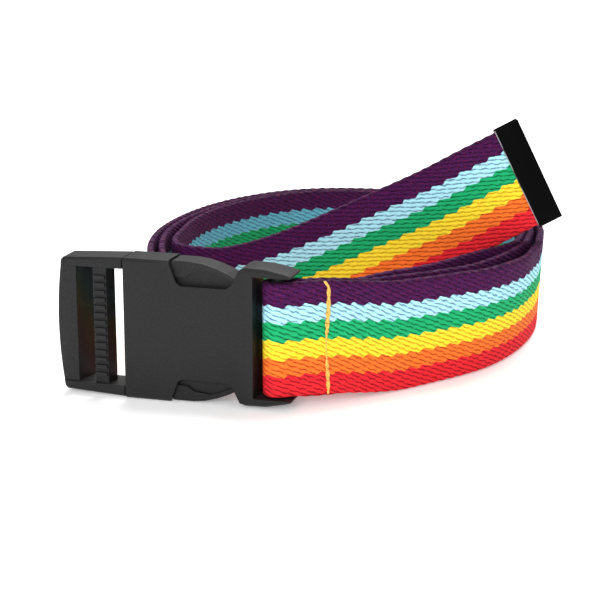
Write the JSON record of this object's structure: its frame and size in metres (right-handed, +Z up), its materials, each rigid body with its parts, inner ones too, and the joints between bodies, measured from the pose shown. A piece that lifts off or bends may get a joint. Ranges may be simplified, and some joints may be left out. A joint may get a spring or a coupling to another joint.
{
  "type": "luggage strap",
  "caption": "Flat webbing strap with a side-release buckle and a folded metal end clip, coiled and standing on its edge with the free end across the coil.",
  "frame": {"origin": "bottom centre of the bounding box, on the ground the coil stands on", "axes": "+Z up, along the webbing's width; +X along the buckle's long axis, from the insert towards the web bar; +Y from the buckle's front face back across the coil"},
  "size_m": [0.1498, 0.1886, 0.0816],
  "materials": {
    "webbing": "woven, six lengthwise stripes: purple, light blue, green, yellow, orange, red",
    "thread": "golden yellow sewing thread",
    "buckle_plastic": "fine matte grain",
    "tip_metal": "semi-gloss black"
  },
  "bodies": {
    "strap": {"webbing_bar_loop": "webbing", "webbing_sewn_tail": "webbing", "webbing_outer_front": "webbing", "webbing_outer_right": "webbing", "webbing_outer_back": "webbing", "webbing_outer_left": "webbing", "webbing_middle_front": "webbing", "webbing_middle_right": "webbing", "webbing_middle_back": "webbing", "webbing_middle_left": "webbing", "webbing_inner_front": "webbing", "webbing_inner_right": "webbing", "webbing_inner_back": "webbing", "webbing_inner_left": "webbing", "webbing_free_end": "webbing", "seam_stitching": "thread", "strap_end_tip": "tip_metal"},
    "receiver": {"receiver_housing": "buckle_plastic", "receiver_web_bar": "buckle_plastic"},
    "insert": {"insert_frame": "buckle_plastic", "insert_ladder_bar": "buckle_plastic", "insert_guide_tongue": "buckle_plastic"},
    "prong_upper": {"release_prong_upper": "buckle_plastic"},
    "prong_lower": {"release_prong_lower": "buckle_plastic"}
  },
  "joints": [
    {"name": "receiver_swing", "type": "hinge", "parent": "strap", "child": "receiver", "pos_m": [-0.00132, -0.08806, 0.0233], "axis": [0, 0, 1], "range_deg": [0, 85]},
    {"name": "insert_slide", "type": "slide", "parent": "receiver", "child": "insert", "axis": [-1, 0, 0], "range_m": [0, 0.042], "deforming": ["release_prong_upper", "release_prong_lower"]},
    {"name": "prong_upper_press", "type": "hinge", "parent": "insert", "child": "prong_upper", "pos_m": [-0.04802, -0.08806, 0.0382], "axis": [0, 1, 0], "range_deg": [0, 8], "stiffness_Nm_per_rad": 1.5},
    {"name": "prong_lower_press", "type": "hinge", "parent": "insert", "child": "prong_lower", "pos_m": [-0.04802, -0.08806, 0.0084], "axis": [0, -1, 0], "range_deg": [0, 8], "stiffness_Nm_per_rad": 1.5}
  ]
}
